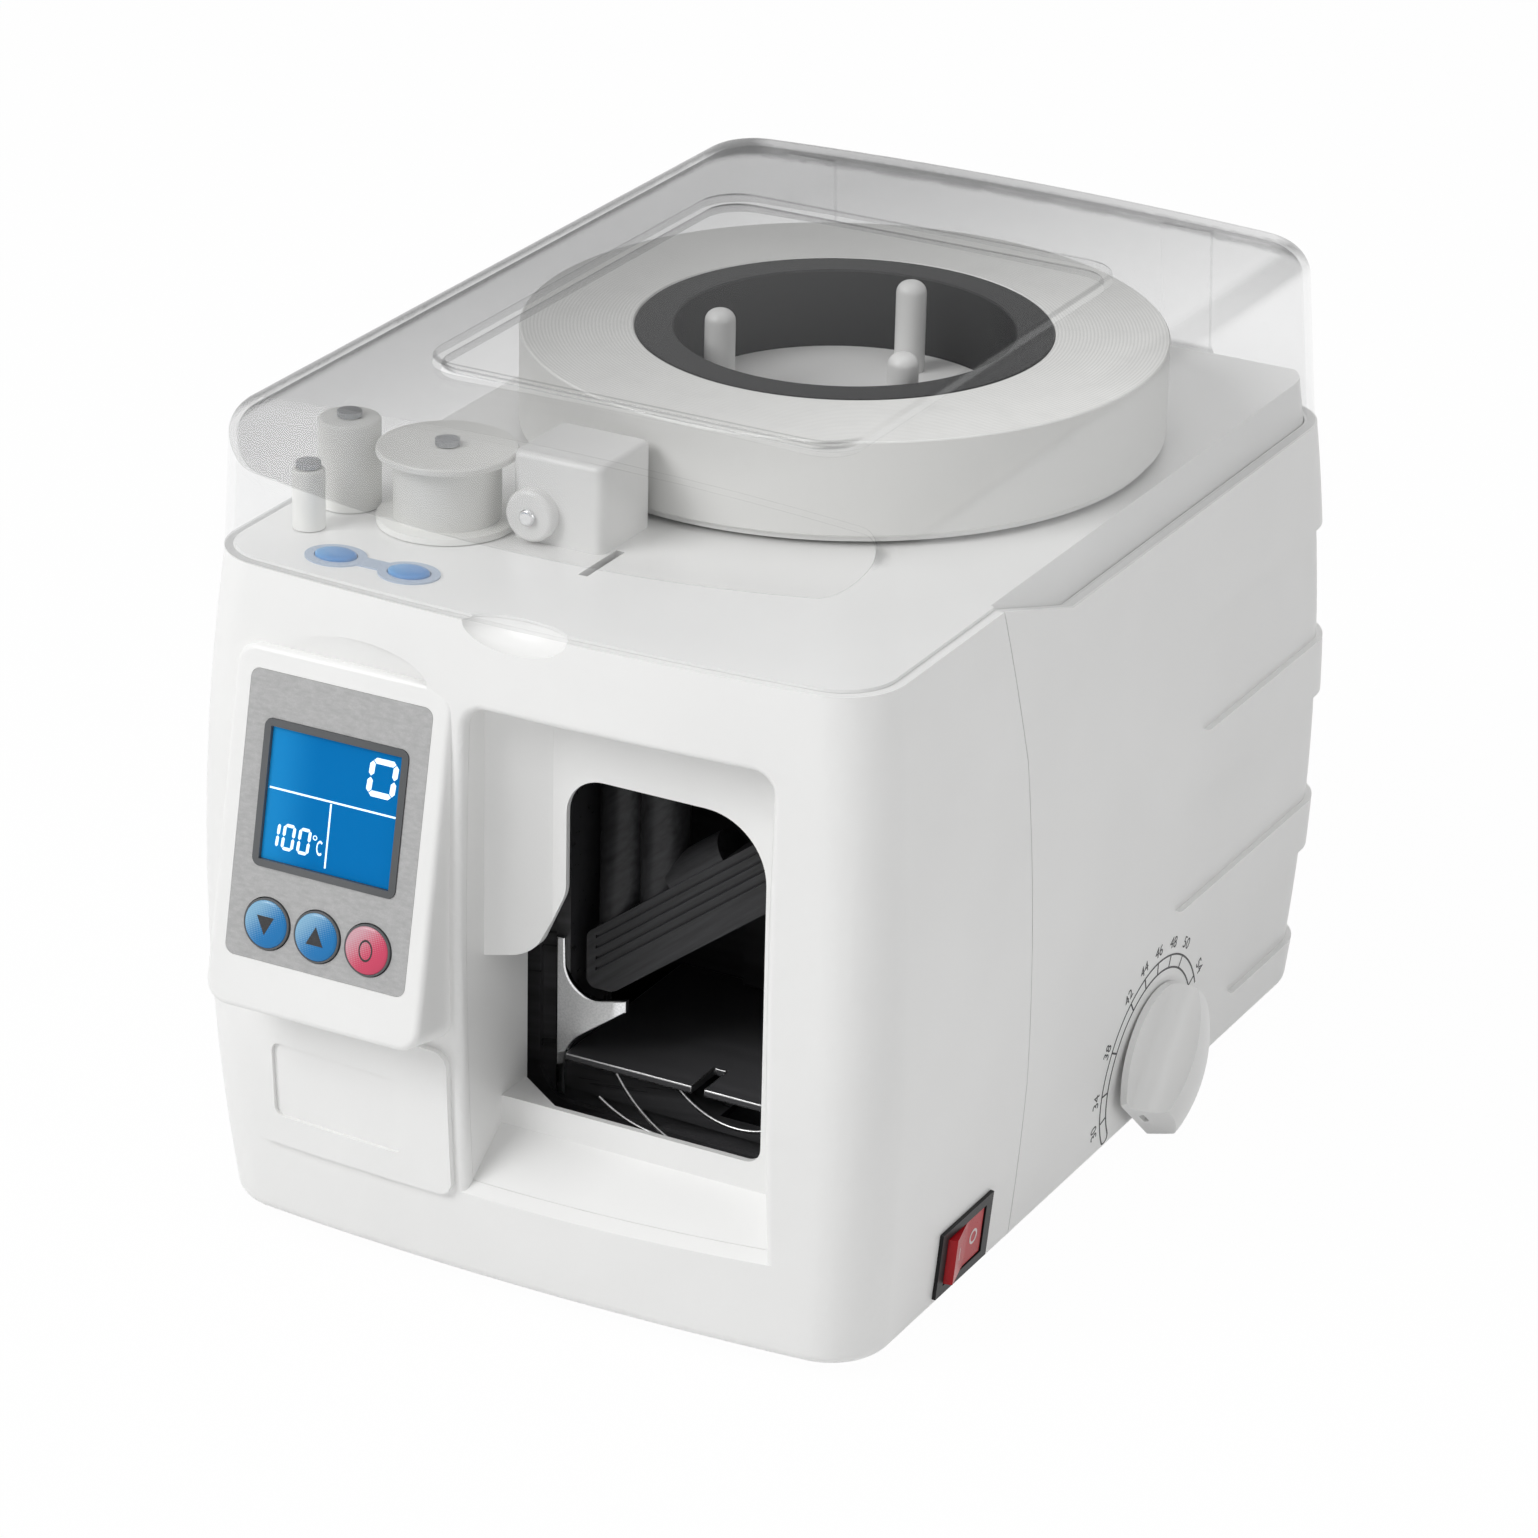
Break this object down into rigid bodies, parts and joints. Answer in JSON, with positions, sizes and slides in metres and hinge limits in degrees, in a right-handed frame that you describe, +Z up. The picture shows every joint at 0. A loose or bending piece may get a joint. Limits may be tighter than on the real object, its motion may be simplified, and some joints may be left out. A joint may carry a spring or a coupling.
{
  "type": "banknote strapping machine",
  "caption": "Desktop machine that straps a bundle of banknotes with paper tape from a reel under a clear cover, with a sloping display console and a side dial.",
  "frame": {"origin": "bottom centre of the whole machine, on the plane the feet stand on", "axes": "+X to the right seen from the front, +Y from the front to the rear, +Z up"},
  "size_m": [0.244, 0.3506, 0.2662],
  "materials": {
    "white_shell": "satin moulded",
    "white_deck": "satin moulded",
    "clear_cover": "clear grey acrylic",
    "black_core": "moulded",
    "paper_tape": "wound paper tape edge",
    "grey_film": "printed film",
    "lcd_black": "gloss",
    "lcd_blue": "lit display",
    "key_blue": "gloss",
    "key_red": "gloss",
    "key_grey_blue": "satin",
    "black_plastic": "satin moulded",
    "knob_black": "satin moulded",
    "dark_table": "black painted",
    "chrome_part": "polished plating",
    "steel": "zinc plated",
    "acetal": "moulded",
    "feed_rubber": "ground",
    "brass_heater": "machined",
    "board_green": "coated board"
  },
  "bodies": {
    "machine": {"front_housing": "white_shell", "rear_housing": "white_shell", "base_plate": "steel", "rubber_feet": "feed_rubber", "foot_screws": "steel", "tray_deck": "white_deck", "reel_spindle": "steel", "roller_spindles": "steel", "guide_block": "white_deck", "guide_screw": "chrome_part", "key_surround": "key_grey_blue", "console_overlay": "grey_film", "lcd_bezel": "lcd_black", "lcd_module": "lcd_blue", "console_board": "board_green", "slot_liner": "white_shell", "note_table": "dark_table", "tape_track": "black_plastic", "chrome_deflector": "chrome_part", "chamber_front": "black_plastic", "chamber_rear": "black_plastic", "upper_guide": "black_plastic", "chassis_plate": "steel", "feed_motor": "steel", "cam_motor": "steel", "pinch_axle": "steel", "dial_bracket": "steel", "switch_bezel": "black_plastic", "power_inlet": "black_plastic", "transformer": "steel", "main_board": "board_green", "hinge_pins": "steel"},
    "cover": {"dust_cover": "clear_cover"},
    "reel": {"reel_turntable": "white_deck", "core_ring": "black_core", "tape_roll": "paper_tape"},
    "post_wheel": {"post_roller": "white_deck"},
    "small_wheel": {"small_roller": "white_deck"},
    "pulley": {"guide_pulley": "white_deck"},
    "feed_button": {"feed_key": "key_blue"},
    "retract_button": {"retract_key": "key_blue"},
    "down_button": {"key_down": "key_blue"},
    "up_button": {"key_up": "key_blue"},
    "reset_button": {"key_reset": "key_red"},
    "rocker": {"power_rocker": "key_red"},
    "dial": {"dial_knob": "knob_black", "dial_shaft": "acetal"},
    "stop": {"note_stop": "steel", "stop_rack": "acetal"},
    "feed": {"feed_roller": "feed_rubber"},
    "pinch": {"pinch_roller": "feed_rubber"},
    "cam": {"camshaft": "steel"},
    "press": {"press_block": "steel", "heater_plate": "brass_heater"}
  },
  "joints": [
    {"name": "cover_hinge", "type": "hinge", "parent": "machine", "child": "cover", "pos_m": [-0.00604, 0.17177, 0.208], "axis": [-1, 0, 0], "range_deg": [0, 100]},
    {"name": "reel_turn", "type": "hinge", "parent": "machine", "child": "reel", "pos_m": [-0.00354, 0.03697, 0.2203], "axis": [0, 0, 1], "continuous": true},
    {"name": "post_roller_turn", "type": "hinge", "parent": "machine", "child": "post_wheel", "pos_m": [-0.09804, -0.09503, 0.217], "axis": [0, 0, 1], "continuous": true},
    {"name": "small_roller_turn", "type": "hinge", "parent": "machine", "child": "small_wheel", "pos_m": [-0.09804, -0.11753, 0.217], "axis": [0, 0, 1], "continuous": true},
    {"name": "guide_pulley_turn", "type": "hinge", "parent": "machine", "child": "pulley", "pos_m": [-0.06634, -0.09203, 0.217], "axis": [0, 0, 1], "continuous": true},
    {"name": "feed_key_press", "type": "slide", "parent": "machine", "child": "feed_button", "axis": [0, 0, -1], "range_m": [0, 0.0008], "stiffness_N_per_m": 300, "springref_m": -0.0005},
    {"name": "retract_key_press", "type": "slide", "parent": "machine", "child": "retract_button", "axis": [0, 0, -1], "range_m": [0, 0.0008], "stiffness_N_per_m": 300, "springref_m": -0.0005},
    {"name": "key_down_press", "type": "slide", "parent": "machine", "child": "down_button", "axis": [0, 0.9804, -0.1973], "range_m": [0, 0.0008], "stiffness_N_per_m": 300, "springref_m": -0.0005},
    {"name": "key_up_press", "type": "slide", "parent": "machine", "child": "up_button", "axis": [0, 0.9804, -0.1973], "range_m": [0, 0.0008], "stiffness_N_per_m": 300, "springref_m": -0.0005},
    {"name": "key_reset_press", "type": "slide", "parent": "machine", "child": "reset_button", "axis": [0, 0.9804, -0.1973], "range_m": [0, 0.0008], "stiffness_N_per_m": 300, "springref_m": -0.0005},
    {"name": "power_rocker_tilt", "type": "hinge", "parent": "machine", "child": "rocker", "pos_m": [0.10365, -0.08353, 0.02019], "axis": [0.0957, 0, 0.9954], "range_deg": [-14, 0]},
    {"name": "dial_turn", "type": "hinge", "parent": "machine", "child": "dial", "pos_m": [0.10864, 0.04447, 0.0265], "axis": [-1, 0, 0], "range_deg": [-156.1, 9]},
    {"name": "stop_slide", "type": "slide", "parent": "machine", "child": "stop", "axis": [0, 1, 0], "range_m": [-0.0227, 0.0013]},
    {"name": "feed_roll", "type": "hinge", "parent": "machine", "child": "feed", "pos_m": [-0.01919, -0.09753, 0.1845], "axis": [0, 1, 0], "continuous": true},
    {"name": "pinch_roll", "type": "hinge", "parent": "machine", "child": "pinch", "pos_m": [-0.00289, -0.09753, 0.1845], "axis": [0, 1, 0], "continuous": true},
    {"name": "cam_turn", "type": "hinge", "parent": "machine", "child": "cam", "pos_m": [0.04196, -0.09753, 0.022], "axis": [0, -1, 0], "range_deg": [0, 180.1]},
    {"name": "press_lift", "type": "slide", "parent": "machine", "child": "press", "axis": [0, 0, 1], "range_m": [0, 0.008]}
  ],
  "couplings": [
    {"joint": "dial_turn", "follows": "stop_slide", "rad_per_m": 120},
    {"joint": "pinch_roll", "follows": "feed_roll", "ratio": -1},
    {"joint": "cam_turn", "follows": "press_lift", "rad_per_m": 392.7}
  ]
}
